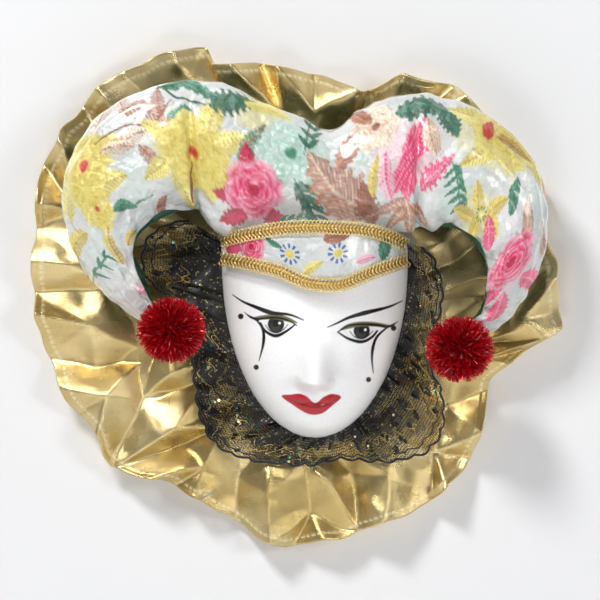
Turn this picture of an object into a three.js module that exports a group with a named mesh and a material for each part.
// Venetian masquerade wall mask: porcelain face, stuffed two-horned hat, lace and gathered ruffle.
// Millimetres, +Z up, face towards -Y, wall side at Y = 0, origin at the middle of the felt's back face.
import * as THREE from 'three';

// ---- driving dimensions ----------------------------------------------------------------------
const GAP = 0.4;                    // clearance between pieces that touch
const BACK = { halfW: 60, halfH: 62, power: 2.6 };   // felt outline, a rounded oblong
const FELT = 2;                     // felt thickness
const TAB_THICK = 0.7;              // ribbon of the hanger tab
const CARD = 2;                     // card thickness
const CARD_PROUD = 2;               // card edge beyond the felt edge
const RUFFLE_THICK = 1.2;           // one layer of gathered cloth with its hem
const RUFFLE_LOW_FOLD = 3.6;        // height of the pleats where the hat and face lie on them
const RUFFLE_FREE_FOLD = 8.5;       // extra height of the pleats at the free edge
const RUFFLE_FREE_FROM = 0.62;       // where the free edge starts to open, as a share of the depth
const RUFFLE_SET_BACK = 3.2;         // how far the open pleats lean back towards the wall
const RUFFLE_PLEATS = 21;
const TAPE = { width: 6, thick: 0.7 };
const FACE = { x: 6.8, z: 17, halfW: 42.6, up: 17, down: 80, topPower: 5, deep: 40, wall: 3 };
const NOSE = { z: -38, len: 26, half: 8.5, high: 15 };
const GLUE = { inset: 4.2, width: 2.6, into: 2 };
const STAPLE = { from: [-45.5, -91], to: [-38.6, -87], wide: 0.6, thick: 0.5, reach: 14 };
const LACE = { thick: 0.9, fold: 1.5 };
const BAND = { wadding: 2.4, cover: 1, round: 1.6 };
const BRAID = { halfW: 2.5, thick: 1.5 };
const HAT = { skin: 1, deep: 19, tipDeep: 4.2 };
const POMPOM = { left: [-58, -13.6], right: [72, -22], r: 15.2, clear: 3.8 };  // clear of the horn's tip
const STITCH = { r: 0.5, lean: 38 };   // thread radius; lean of its end behind the ball's top
const RING = { wire: 0.9, barHalf: 7, high: 15, corner: 2.2, clearZ: 8 };
const TAB = { halfW: 4.5, tail: 16 };

// ---- places worked out from them -----------------------------------------------------------------
const FELT_FRONT = -FELT;
const CARD_BACK = FELT_FRONT - TAB_THICK - 2 * GAP;
const CARD_FRONT = CARD_BACK - CARD;
const RUFFLE_BACK = CARD_FRONT - GAP;
const TAPE_BACK = RUFFLE_BACK - RUFFLE_LOW_FOLD - RUFFLE_THICK - GAP;
const TAPE_FRONT = TAPE_BACK - TAPE.thick;
const RIM_Y = TAPE_FRONT - GAP;
const HAT_BACK = RIM_Y - GAP;
const POMPOM_Y = HAT_BACK - 2 * HAT.tipDeep - POMPOM.clear - POMPOM.r;
const TAB_Y = FELT_FRONT - GAP - TAB_THICK / 2;
const RING_Z = BACK.halfH + RING.clearZ;
const SEAM = { left: [[-48.5, 101], [-44, 39.5]], right: [[50, 92.3], [51, 30.5]] };

// ---- outlines, as [x, z] ---------------------------------------------------------------------------
const RUFFLE_EDGE = [
  [-43, 115], [-20, 108.5], [8, 105], [28, 96.5], [48, 104.5], [74, 97], [96, 76], [113, 46],
  [119, 3], [121, -13], [102, -24], [87, -38], [86, -54], [75, -79], [52, -97], [22, -107.7],
  [-7, -113.5], [-28.6, -103.5], [-60, -84], [-88, -77], [-96, -58], [-108, -46], [-121.6, -8.6],
  [-123.5, 21], [-118.5, 64], [-94, 98], [-62, 113],
];
const LACE_EDGE = [
  [-60, 31], [-61, 12], [-50, 0], [-48, -23], [-46, -45], [-40, -63], [-27, -71], [0, -75], [18, -72],
  [36, -73], [55, -70], [64, -59], [64, -42], [59, -30], [61, -15], [64, 4], [60, 19], [53, 25],
];
const HORN_LEFT = {
  outer: [[-67, 98], [-86, 88], [-98, 75], [-106, 57], [-106.5, 40], [-99, 18], [-86, 1], [-77, -7],
    [-68, -12]],
  inner: [[-53, 40.5], [-62, 38], [-69, 33], [-73.5, 27], [-75, 20], [-73, 11], [-67.5, 0], [-63, -4],
    [-60.5, -7]],
};
const HORN_RIGHT = {
  outer: [[60, 93], [76, 88.5], [92, 79.5], [107, 62], [113.5, 42], [109.5, 17], [100, -1], [88, -14],
    [79, -18]],
  inner: [[59, 33.5], [67, 33], [75, 29.5], [81, 24], [84.5, 15], [84.5, 4], [82, -6], [77, -10.5],
    [74, -13.5]],
};
const CROWN = {
  top: [[-33, 97], [-19, 90], [-2, 83.5], [13.6, 78], [25, 83.5], [38, 88.5]],
  low: [[-35, 34], [-20, 33.6], [-4, 35.8], [10, 36.2], [25, 35.4], [41, 32.5]],
};
const BRAID_UP = [[-35.5, 26.6], [-24, 29.4], [-8, 32], [8, 32.6], [26, 31.8], [38, 29.4], [47.7, 25]];
const BRAID_LOW = [[-35.5, 18.6], [-22, 15.9], [-9, 12.8], [1, 8.2], [10, 6.6], [20, 7.2], [32, 12.2],
  [48.5, 18]];

// ---- materials -------------------------------------------------------------------------------------
const paint = (color, roughness, metalness = 0) =>
  new THREE.MeshStandardMaterial({ color, roughness, metalness });
const FINISH = {
  felt: paint(0x1d1c1f, 0.95), card: paint(0x9a7f5c, 0.9), lame: paint(0xc79b3b, 0.35, 0.6),
  tape: paint(0xd9cdb2, 0.9), lace: paint(0x14130f, 0.7), porcelain: paint(0xf3efee, 0.12),
  glue: paint(0xe8e2cf, 0.4), print: paint(0xe5dcd2, 0.35), green: paint(0x0f4a37, 0.4),
  wadding: paint(0xf4f3f0, 1), braid: paint(0xd6a63c, 0.35, 0.8), tinsel: paint(0xb00716, 0.3, 0.6),
  thread: paint(0xa01020, 0.8), ribbon: paint(0x222226, 0.8), wire: paint(0xc9b06a, 0.3, 1),
  steel: paint(0xb9bcc0, 0.35, 1),
};

// ---- mesh helpers ----------------------------------------------------------------------------------
const object = new THREE.Group();

function signedVolume(points, faces) {
  const volume = faces.map(([a, b, c]) => points[a].dot(points[b].clone().cross(points[c])));
  return volume.reduce((sum, v) => sum + v, 0) / 6;
}

// Turns points and triangles into a named mesh with its faces outwards.
function addSolid(name, points, faces, material) {
  const inward = signedVolume(points, faces) < 0;
  const order = faces.flatMap(([a, b, c]) => (inward ? [a, c, b] : [a, b, c]));
  const geometry = new THREE.BufferGeometry().setFromPoints(points);
  geometry.setIndex(order);
  geometry.computeVertexNormals();
  return addMesh(name, geometry, material);
}

function addMesh(name, geometry, material) {
  const mesh = new THREE.Mesh(geometry, material);
  mesh.name = name;
  object.add(mesh);
  return mesh;
}

const wallQuad = (a, b, c, d) => [[a, b, c], [a, c, d]];

// Closed slab between two grids of points, [row][column]; wrap joins the last column to the first.
function addSlab(name, front, back, wrap, material) {
  const rows = front.length;
  const cols = front[0].length;
  const points = [...front.flat(), ...back.flat()];
  const at = (side, r, c) => side * rows * cols + r * cols + (c % cols);
  const faces = [];
  const spans = wrap ? cols : cols - 1;
  for (let c = 0; c < spans; c += 1) {
    for (let r = 0; r < rows - 1; r += 1) {
      faces.push(...wallQuad(at(0, r, c), at(0, r + 1, c), at(0, r + 1, c + 1), at(0, r, c + 1)));
      faces.push(...wallQuad(at(1, r, c), at(1, r, c + 1), at(1, r + 1, c + 1), at(1, r + 1, c)));
    }
    faces.push(...wallQuad(at(0, 0, c), at(0, 0, c + 1), at(1, 0, c + 1), at(1, 0, c)));
    const e = rows - 1;
    faces.push(...wallQuad(at(0, e, c), at(1, e, c), at(1, e, c + 1), at(0, e, c + 1)));
  }
  if (!wrap) {
    for (let r = 0; r < rows - 1; r += 1) {
      faces.push(...wallQuad(at(0, r, 0), at(1, r, 0), at(1, r + 1, 0), at(0, r + 1, 0)));
      const e = cols - 1;
      faces.push(...wallQuad(at(0, r, e), at(0, r + 1, e), at(1, r + 1, e), at(1, r, e)));
    }
  }
  return addSolid(name, points, faces, material);
}

// Closed body over rings of points; each end is closed by a fan.
function addRings(name, rings, material) {
  const cols = rings[0].length;
  const middle = (ring) => ring.reduce((s, p) => s.add(p), new THREE.Vector3()).divideScalar(cols);
  const points = [...rings.flat(), middle(rings[0]), middle(rings.at(-1))];
  const last = rings.length - 1;
  const at = (r, c) => r * cols + (c % cols);
  const faces = [];
  for (let c = 0; c < cols; c += 1) {
    for (let r = 0; r < last; r += 1) {
      faces.push(...wallQuad(at(r, c), at(r, c + 1), at(r + 1, c + 1), at(r + 1, c)));
    }
    faces.push([points.length - 2, at(0, c + 1), at(0, c)]);
    faces.push([points.length - 1, at(last, c), at(last, c + 1)]);
  }
  return addSolid(name, points, faces, material);
}

const point = (x, y, z) => new THREE.Vector3(x, y, z);
const blend = THREE.MathUtils.lerp;
const range = (n) => Array.from({ length: n }, (_, i) => i);

// A smooth curve through [x, z] points, sampled evenly by parameter into n points.
function smooth(list, n, closed = false) {
  const curve = new THREE.CatmullRomCurve3(list.map(([x, z]) => point(x, 0, z)), closed, 'centripetal');
  return range(n).map((i) => curve.getPoint(i / (closed ? n : n - 1)));
}

// Closed tube of a round section along a curve, made with ExtrudeGeometry.
function tubeGeometry(curve, radius, steps, sides = 8) {
  const section = new THREE.Shape(range(sides).map((i) => {
    const a = (i * 2 * Math.PI) / sides;
    return new THREE.Vector2(radius * Math.cos(a), radius * Math.sin(a));
  }));
  return new THREE.ExtrudeGeometry(section, { steps, extrudePath: curve, bevelEnabled: false });
}

// ---- backing and hanger ----------------------------------------------------------------------------
function roundedOblong(halfW, halfH, power, n) {
  return range(n).map((i) => {
    const a = (i * 2 * Math.PI) / n;
    const c = Math.cos(a);
    const s = Math.sin(a);
    const r = (Math.abs(c) ** power + Math.abs(s) ** power) ** (-1 / power);
    return new THREE.Vector2(halfW * r * c, halfH * r * s);
  });
}

// A flat plate between two Y values from an outline of [x, z] vectors.
function addPlate(name, outline, yFront, yBack, material) {
  const depth = yBack - yFront;
  const geometry = new THREE.ExtrudeGeometry(new THREE.Shape(outline), { depth, bevelEnabled: false });
  geometry.rotateX(Math.PI / 2);
  const mesh = addMesh(name, geometry, material);
  mesh.position.y = yBack;
  return mesh;
}

function addBacking() {
  const felt = roundedOblong(BACK.halfW, BACK.halfH, BACK.power, 64);
  addPlate('backing_felt', felt, FELT_FRONT, 0, FINISH.felt);
  const { halfW, halfH, power } = BACK;
  const card = roundedOblong(halfW + CARD_PROUD, halfH + CARD_PROUD, power, 64);
  addPlate('backing_card', card, CARD_FRONT, CARD_BACK, FINISH.card);
}

// A woven ribbon folded round the ring's bar, its tail between the card and the felt.
function addHangerTab() {
  const inner = RING.wire + GAP;
  const outer = inner + TAB_THICK;
  const half = TAB_THICK / 2;
  const neck = -Math.sqrt(outer ** 2 - half ** 2);
  const tail = -(RING.clearZ + TAB.tail);
  const start = Math.atan2(neck, half);
  const shape = new THREE.Shape();
  shape.moveTo(-half, tail);
  shape.lineTo(half, tail);
  shape.lineTo(half, neck);
  shape.absarc(0, 0, outer, start, Math.PI - start, false);
  shape.lineTo(-half, neck);
  shape.closePath();
  shape.holes.push(new THREE.Path().absarc(0, 0, inner, 0, 2 * Math.PI, true));
  const options = { depth: 2 * TAB.halfW, bevelEnabled: false, curveSegments: 10 };
  const geometry = new THREE.ExtrudeGeometry(shape, options);
  geometry.rotateX(Math.PI / 2).rotateZ(Math.PI / 2);
  const mesh = addMesh('hanger_tab', geometry, FINISH.ribbon);
  mesh.position.set(-TAB.halfW, TAB_Y, RING_Z);
}

// D-shaped wire ring: a straight bar through the ribbon and a round bow above it.
function addHangerRing() {
  const path = new THREE.CurvePath();
  const bar = [point(0, 0, 0), point(RING.barHalf - RING.corner, 0, 0)];
  path.add(new THREE.LineCurve3(...bar));
  const right = [[RING.barHalf - RING.corner, 0], [RING.barHalf, 0], [RING.barHalf, RING.corner]];
  path.add(new THREE.QuadraticBezierCurve3(...right.map(([x, z]) => point(x, 0, z))));
  const bow = [[RING.barHalf, RING.corner], [RING.barHalf, RING.high], [-RING.barHalf, RING.high],
    [-RING.barHalf, RING.corner]];
  path.add(new THREE.CubicBezierCurve3(...bow.map(([x, z]) => point(x, 0, z))));
  const left = [[-RING.barHalf, RING.corner], [-RING.barHalf, 0], [RING.corner - RING.barHalf, 0]];
  path.add(new THREE.QuadraticBezierCurve3(...left.map(([x, z]) => point(x, 0, z))));
  path.add(new THREE.LineCurve3(point(RING.corner - RING.barHalf, 0, 0), point(0, 0, 0)));
  const stops = path.getSpacedPoints(36).slice(0, -1);
  const rings = stops.map((p, i) => {
    const next = stops[(i + 1) % stops.length];
    const before = stops[(i + stops.length - 1) % stops.length];
    const along = next.clone().sub(before).normalize();
    const side = point(0, 1, 0).cross(along).normalize();
    return range(8).map((k) => {
      const a = (k * Math.PI) / 4;
      const at = p.clone().addScaledVector(side, RING.wire * Math.cos(a));
      return at.add(point(0, RING.wire * Math.sin(a) + TAB_Y, RING_Z));
    });
  });
  const faces = [];
  const index = (r, c) => (r % rings.length) * 8 + (c % 8);
  range(rings.length).forEach((r) => range(8).forEach((c) => {
    faces.push(...wallQuad(index(r, c), index(r + 1, c), index(r + 1, c + 1), index(r, c + 1)));
  }));
  addSolid('hanger_ring', rings.flat(), faces, FINISH.wire);
}

// ---- porcelain face ----------------------------------------------------------------------------------
// Outline point of the face: an ellipse below, a squarer top above, moved inwards by inset.
function faceOutline(angle, inset) {
  const up = Math.sin(angle) > 0;
  const high = (up ? FACE.up : -FACE.down) + (up ? -inset : inset);
  const rise = Math.abs(Math.sin(angle)) ** (2 / (up ? FACE.topPower : 2));
  return [FACE.x + (FACE.halfW - inset) * Math.cos(angle), FACE.z + high * rise];
}

// Height of a smooth dome over the outline: 1 in the middle of the forehead, 0 at the rim.
function dome(x, z, inset) {
  const up = z > FACE.z;
  const v = Math.abs(z - FACE.z) / ((up ? FACE.up : FACE.down) - inset);
  const u = Math.abs(x - FACE.x) / (FACE.halfW - inset);
  const fall = Math.min(1, u ** 2 + v ** (up ? FACE.topPower : 2));
  return (1 - fall ** 1.25) ** 0.55;
}

// Eye hollows, lips and chin: height over the dome, centre and reach of each soft hill.
const HILLS = [
  { high: -2.4, x: FACE.x - 19, z: -12, wide: 9, tall: 6 },
  { high: -2.4, x: FACE.x + 20, z: -14, wide: 9, tall: 6 },
  { high: 2.2, x: FACE.x - 0.5, z: -46, wide: 9, tall: 4.5 },
  { high: 3.6, x: FACE.x - 0.5, z: -57, wide: 10, tall: 6 },
];

const bump = (x, z, cx, cz, sx, sz) => Math.exp(-(((x - cx) / sx) ** 2) - ((z - cz) / sz) ** 2);

// How far the outer surface stands in front of the rim at (x, z).
function faceHeight(x, z) {
  const full = dome(x, z, 0);
  const d = FACE.deep * full;
  const up = THREE.MathUtils.clamp((z - NOSE.z) / NOSE.len, 0, 1);
  const ridge = Math.exp(-(((x - FACE.x) / (NOSE.half * (1 - 0.35 * up))) ** 2));
  const foot = THREE.MathUtils.smoothstep(z, NOSE.z - 6, NOSE.z + 2);
  const nose = NOSE.high * (1 - up) ** 1.3 * ridge * foot;
  const hills = HILLS.map(({ high, x: cx, z: cz, wide, tall }) => high * bump(x, z, cx, cz, wide, tall));
  const soft = hills.reduce((sum, hill) => sum + hill, 0);
  return d + (nose + soft) * Math.min(1, 3 * full);
}

function addFace() {
  const cols = 44;
  const rows = 11;
  const mid = [FACE.x, -16];
  const ringAt = (k, inset, height) => {
    const s = Math.sin(((rows - k) / rows) * (Math.PI / 2));
    return range(cols).map((c) => {
      const [ox, oz] = faceOutline((c * 2 * Math.PI) / cols, inset);
      const x = blend(mid[0], ox, s);
      const z = blend(mid[1], oz, s);
      return point(x, RIM_Y - height(x, z, k), z);
    });
  };
  const outer = (x, z, k) => (k === 0 ? 0 : faceHeight(x, z));
  const inner = (x, z, k) => (k === 0 ? 0 : (FACE.deep - FACE.wall - 2) * dome(x, z, FACE.wall));
  const front = range(rows).map((k) => ringAt(k, 0, outer));
  const back = range(rows).map((k) => ringAt(k, FACE.wall, inner));
  const rings = [...front.slice().reverse(), ...back];
  addRings('porcelain_face', rings, FINISH.porcelain);
}

// Bead of glue that joins the inside of the face's rim to the card.
function addGlueRing() {
  const n = 36;
  const ring = (inset, y) => range(n).map((c) => {
    const [x, z] = faceOutline((c * 2 * Math.PI) / n, inset);
    return point(x, y, z);
  });
  const wide = [RIM_Y - GLUE.into, CARD_FRONT - GAP].map((y) => ring(GLUE.inset, y));
  const narrow = [RIM_Y - GLUE.into, CARD_FRONT - GAP].map((y) => ring(GLUE.inset + GLUE.width, y));
  addSlab('glue_ring', wide, narrow, true, FINISH.glue);
}

// ---- ruffle, gathering tape and staple ------------------------------------------------------------
const RUFFLE_HOLE = FACE.wall - GAP;

// Pleat height at a place round the ruffle, 0 to 1, uneven as hand-gathered cloth is.
function pleat(angle) {
  const drift = 0.9 * Math.sin(angle * 3 + 0.6) + 0.5 * Math.sin(angle * 7 + 2);
  const wave = Math.asin(Math.sin(angle * RUFFLE_PLEATS + drift)) / (Math.PI / 2);
  return 0.5 + 0.5 * wave;
}

// Lines across the hat from its outer to its inner edge, which the ruffle's free folds keep out of.
function hatLines() {
  const n = 40;
  const edges = [
    [[...HORN_LEFT.outer].reverse(), CROWN.top, HORN_RIGHT.outer],
    [[...HORN_LEFT.inner].reverse(), CROWN.low, HORN_RIGHT.inner],
  ].map((parts) => smooth(parts.flat(), n));
  return range(n).map((i) => new THREE.Line3(edges[0][i], edges[1][i]));
}

const HAT_LINES = hatLines();

// Share of the free fold height that a place has: 0 under the hat, 1 well outside it.
function foldRoom(x, z) {
  const at = point(x, 0, z);
  const near = (line) => line.closestPointToPoint(at, true, point(0, 0, 0)).distanceTo(at);
  return THREE.MathUtils.smoothstep(Math.min(...HAT_LINES.map(near)), 5, 13);
}

// Mid-surface of the ruffle: t is 0 at the gathered edge and 1 at the hem.
function ruffleY(angle, t, x, z) {
  const free = THREE.MathUtils.smoothstep(t, RUFFLE_FREE_FROM, 1) * foldRoom(x, z);
  const low = RUFFLE_LOW_FOLD * pleat(angle);
  const open = RUFFLE_FREE_FOLD * free * pleat(angle * 1.0 + 0.12 * Math.sin(5 * angle));
  return RUFFLE_BACK - RUFFLE_THICK / 2 - low - open + RUFFLE_SET_BACK * free * (1 - pleat(angle));
}

function addRuffle() {
  const n = 84;
  const rows = 5;
  const edge = smooth(RUFFLE_EDGE, n, true);
  const grid = (side) => range(rows).map((r) => edge.map((e) => {
    const t = r / (rows - 1);
    const high = e.z > FACE.z ? FACE.up : FACE.down;
    const angle = Math.atan2((e.z - FACE.z) / high, (e.x - FACE.x) / FACE.halfW);
    const [ix, iz] = faceOutline(angle, RUFFLE_HOLE);
    const x = blend(ix, e.x, t);
    const z = blend(iz, e.z, t);
    return point(x, ruffleY(angle, t, x, z) + (side * RUFFLE_THICK) / 2, z);
  }));
  addSlab('ruffle', grid(-1), grid(1), true, FINISH.lame);
  addStaple(grid(-1).flat());
}

function addTape() {
  const n = 36;
  const ring = (inset, y) => range(n).map((c) => {
    const [x, z] = faceOutline((c * 2 * Math.PI) / n, inset);
    return point(x, y, z);
  });
  const inset = RUFFLE_HOLE - 0.5;
  const front = [ring(inset, TAPE_FRONT), ring(inset - TAPE.width, TAPE_FRONT)];
  const back = [ring(inset, TAPE_BACK), ring(inset - TAPE.width, TAPE_BACK)];
  addSlab('gathering_tape', front, back, true, FINISH.tape);
}

// Wire staple through a fold of the ruffle: its crown lies on the nearest folds of the cloth.
function addStaple(cloth) {
  const { from, to, wide, thick } = STAPLE;
  const mid = [(from[0] + to[0]) / 2, (from[1] + to[1]) / 2];
  const near = cloth.filter((p) => Math.hypot(p.x - mid[0], p.z - mid[1]) < STAPLE.reach);
  const top = Math.min(...near.map((p) => p.y));
  const length = Math.hypot(to[0] - from[0], to[1] - from[1]);
  const mesh = addMesh('ruffle_staple', new THREE.BoxGeometry(length, thick, wide), FINISH.steel);
  mesh.position.set(mid[0], top - GAP - thick / 2, mid[1]);
  mesh.rotation.y = -Math.atan2(to[1] - from[1], to[0] - from[0]);
}

// ---- lace ------------------------------------------------------------------------------------------
function addLace() {
  const n = 54;
  const rows = 4;
  const edge = smooth(LACE_EDGE, n);
  const grid = (side) => range(rows).map((r) => edge.map((e, i) => {
    const t = r / (rows - 1);
    const high = e.z > FACE.z ? FACE.up : FACE.down;
    const angle = Math.atan2((e.z - FACE.z) / high, (e.x - FACE.x) / FACE.halfW);
    const [ix, iz] = faceOutline(angle, -2 * GAP);
    const fold = LACE.fold * t * (0.5 + 0.5 * Math.sin(i * 1.35));
    const y = RIM_Y - GAP - LACE.thick - fold + (side * LACE.thick) / 2;
    return point(blend(ix, e.x, t), y, blend(iz, e.z, t));
  }));
  addSlab('lace_trim', grid(-1), grid(1), false, FINISH.lace);
}

// ---- hat band and braids ---------------------------------------------------------------------------
// Height of the upright band surface in front of the rim; it only bends round the head.
function bandHeight(x) {
  const u = Math.min(1, Math.abs(x - FACE.x) / (FACE.halfW + BAND.round));
  return FACE.deep * (1 - u ** 2.5) ** 0.55;
}

// A slab on the band surface between two lines, from lift to lift + thick in front of it.
function addForeheadSlab(name, low, high, rows, lift, thick, material) {
  const grid = (proud) => range(rows).map((r) => low.map((p, i) => {
    const t = r / (rows - 1);
    const x = blend(p.x, high[i].x, t);
    const swell = 1 - 0.35 * (2 * t - 1) ** 2;
    return point(x, RIM_Y - bandHeight(x) - lift - proud * swell, blend(p.z, high[i].z, t));
  }));
  addSlab(name, grid(thick), grid(0), false, material);
}

function addBandAndBraids() {
  const n = 30;
  const up = smooth(BRAID_UP, n);
  const low = smooth(BRAID_LOW, n);
  const inUp = up.map((p) => p.clone().add(point(0, 0, -1)));
  const inLow = low.map((p) => p.clone().add(point(0, 0, 1)));
  const waddingLift = 2 * GAP;
  const coverLift = waddingLift + BAND.wadding + GAP;
  addForeheadSlab('band_wadding', inLow, inUp, 5, waddingLift, BAND.wadding, FINISH.wadding);
  addForeheadSlab('hat_band', low, up, 6, coverLift, BAND.cover, FINISH.print);
  const braidLift = coverLift + BAND.cover + GAP;
  const shifted = (line, dz) => line.map((p) => p.clone().add(point(0, 0, dz)));
  const braids = [['braid_upper', up], ['braid_lower', low]];
  braids.forEach(([name, line]) => {
    const below = shifted(line, -BRAID.halfW);
    const above = shifted(line, BRAID.halfW);
    addForeheadSlab(name, below, above, 3, braidLift, BRAID.thick, FINISH.braid);
  });
}

// ---- stuffed hat -----------------------------------------------------------------------------------
const ARC = 10;                     // facets across half a stuffed section

// Point on a stuffed section: angle 0 is its outer seam, the front is -Y, inset goes inwards.
function sectionPoint(station, angle, inset) {
  const { outer, inner, deep, y } = station;
  const half = outer.distanceTo(inner) / 2 - inset;
  const across = outer.clone().sub(inner).normalize();
  const at = outer.clone().add(inner).multiplyScalar(0.5).addScaledVector(across, half * Math.cos(angle));
  at.y = y - (deep - inset) * Math.sin(angle);
  return at;
}

// Front skin, back skin and filling of one stuffed length of the hat.
function addStuffed(name, stations) {
  const skin = (front, inset) => stations.map((s) => {
    const open = Math.asin((0.6 * GAP) / (s.deep - HAT.skin));
    return range(ARC + 1).map((i) => {
      const a = blend(open, Math.PI - open, i / ARC);
      return sectionPoint(s, front ? a : -a, inset);
    });
  });
  addSlab(`${name}_front`, skin(true, 0), skin(true, HAT.skin), false, FINISH.print);
  addSlab(`${name}_back`, skin(false, 0), skin(false, HAT.skin), false, FINISH.green);
  const rings = stations.map((s) => range(2 * ARC).map((i) =>
    sectionPoint(s, (i * Math.PI) / ARC, HAT.skin + GAP)));
  addRings(`${name}_filling`, rings, FINISH.wadding);
}

const shiftX = ([x, z], dx) => [x + dx, z];

function addHorn(name, seam, horn, toward) {
  const n = 11;
  const start = seam.map((p) => shiftX(p, toward * GAP));
  const outer = smooth([start[0], ...horn.outer], n);
  const inner = smooth([start[1], ...horn.inner], n);
  const stations = range(n).map((i) => {
    const t = i / (n - 1);
    const deep = blend(HAT.tipDeep, HAT.deep, 1 - t ** 3);
    return { outer: outer[i], inner: inner[i], deep, y: HAT_BACK - deep };
  });
  addStuffed(name, stations);
}

function addCrown() {
  const n = 9;
  const [leftTop, leftLow] = SEAM.left.map((p) => shiftX(p, GAP));
  const [rightTop, rightLow] = SEAM.right.map((p) => shiftX(p, -GAP));
  const outer = smooth([leftTop, ...CROWN.top, rightTop], n);
  const inner = smooth([leftLow, ...CROWN.low, rightLow], n);
  const stations = range(n).map((i) => (
    { outer: outer[i], inner: inner[i], deep: HAT.deep, y: HAT_BACK - HAT.deep }));
  addStuffed('crown', stations);
}

// ---- pompoms ---------------------------------------------------------------------------------------
// Where the thread meets the pompom, just off its surface, above and behind its middle.
function threadEnd([x, z]) {
  const lean = THREE.MathUtils.degToRad(STITCH.lean);
  const away = POMPOM.r + STITCH.r + GAP;
  return point(x, POMPOM_Y + away * Math.sin(lean), z + away * Math.cos(lean));
}

// Thread from the inner seam near the horn's tip to the pompom.
function addStitch(side, horn, end) {
  const k = horn.inner.length - 2;
  const t = (k + 1) / horn.inner.length;
  const [ix, iz] = horn.inner[k];
  const [ox, oz] = horn.outer[k];
  const wide = Math.hypot(ix - ox, iz - oz);
  const off = STITCH.r + 3 * GAP;
  const y = HAT_BACK - blend(HAT.tipDeep, HAT.deep, 1 - t ** 3);
  const start = point(ix + (off * (ix - ox)) / wide, y, iz + (off * (iz - oz)) / wide);
  const path = new THREE.LineCurve3(start, end);
  addMesh(`pompom_stitch_${side}`, tubeGeometry(path, STITCH.r, 4), FINISH.thread);
}

function addPompom(side, horn) {
  const [x, z] = POMPOM[side];
  const ball = new THREE.IcosahedronGeometry(POMPOM.r, 3);
  const mesh = addMesh(`pompom_${side}`, ball, FINISH.tinsel);
  mesh.position.set(x, POMPOM_Y, z);
  addStitch(side, horn, threadEnd(POMPOM[side]));
}

addBacking();
addHangerTab();
addHangerRing();
addFace();
addGlueRing();
addRuffle();
addTape();
addLace();
addBandAndBraids();
addCrown();
addHorn('horn_left', SEAM.left, HORN_LEFT, -1);
addHorn('horn_right', SEAM.right, HORN_RIGHT, 1);
addPompom('left', HORN_LEFT);
addPompom('right', HORN_RIGHT);

export default object;
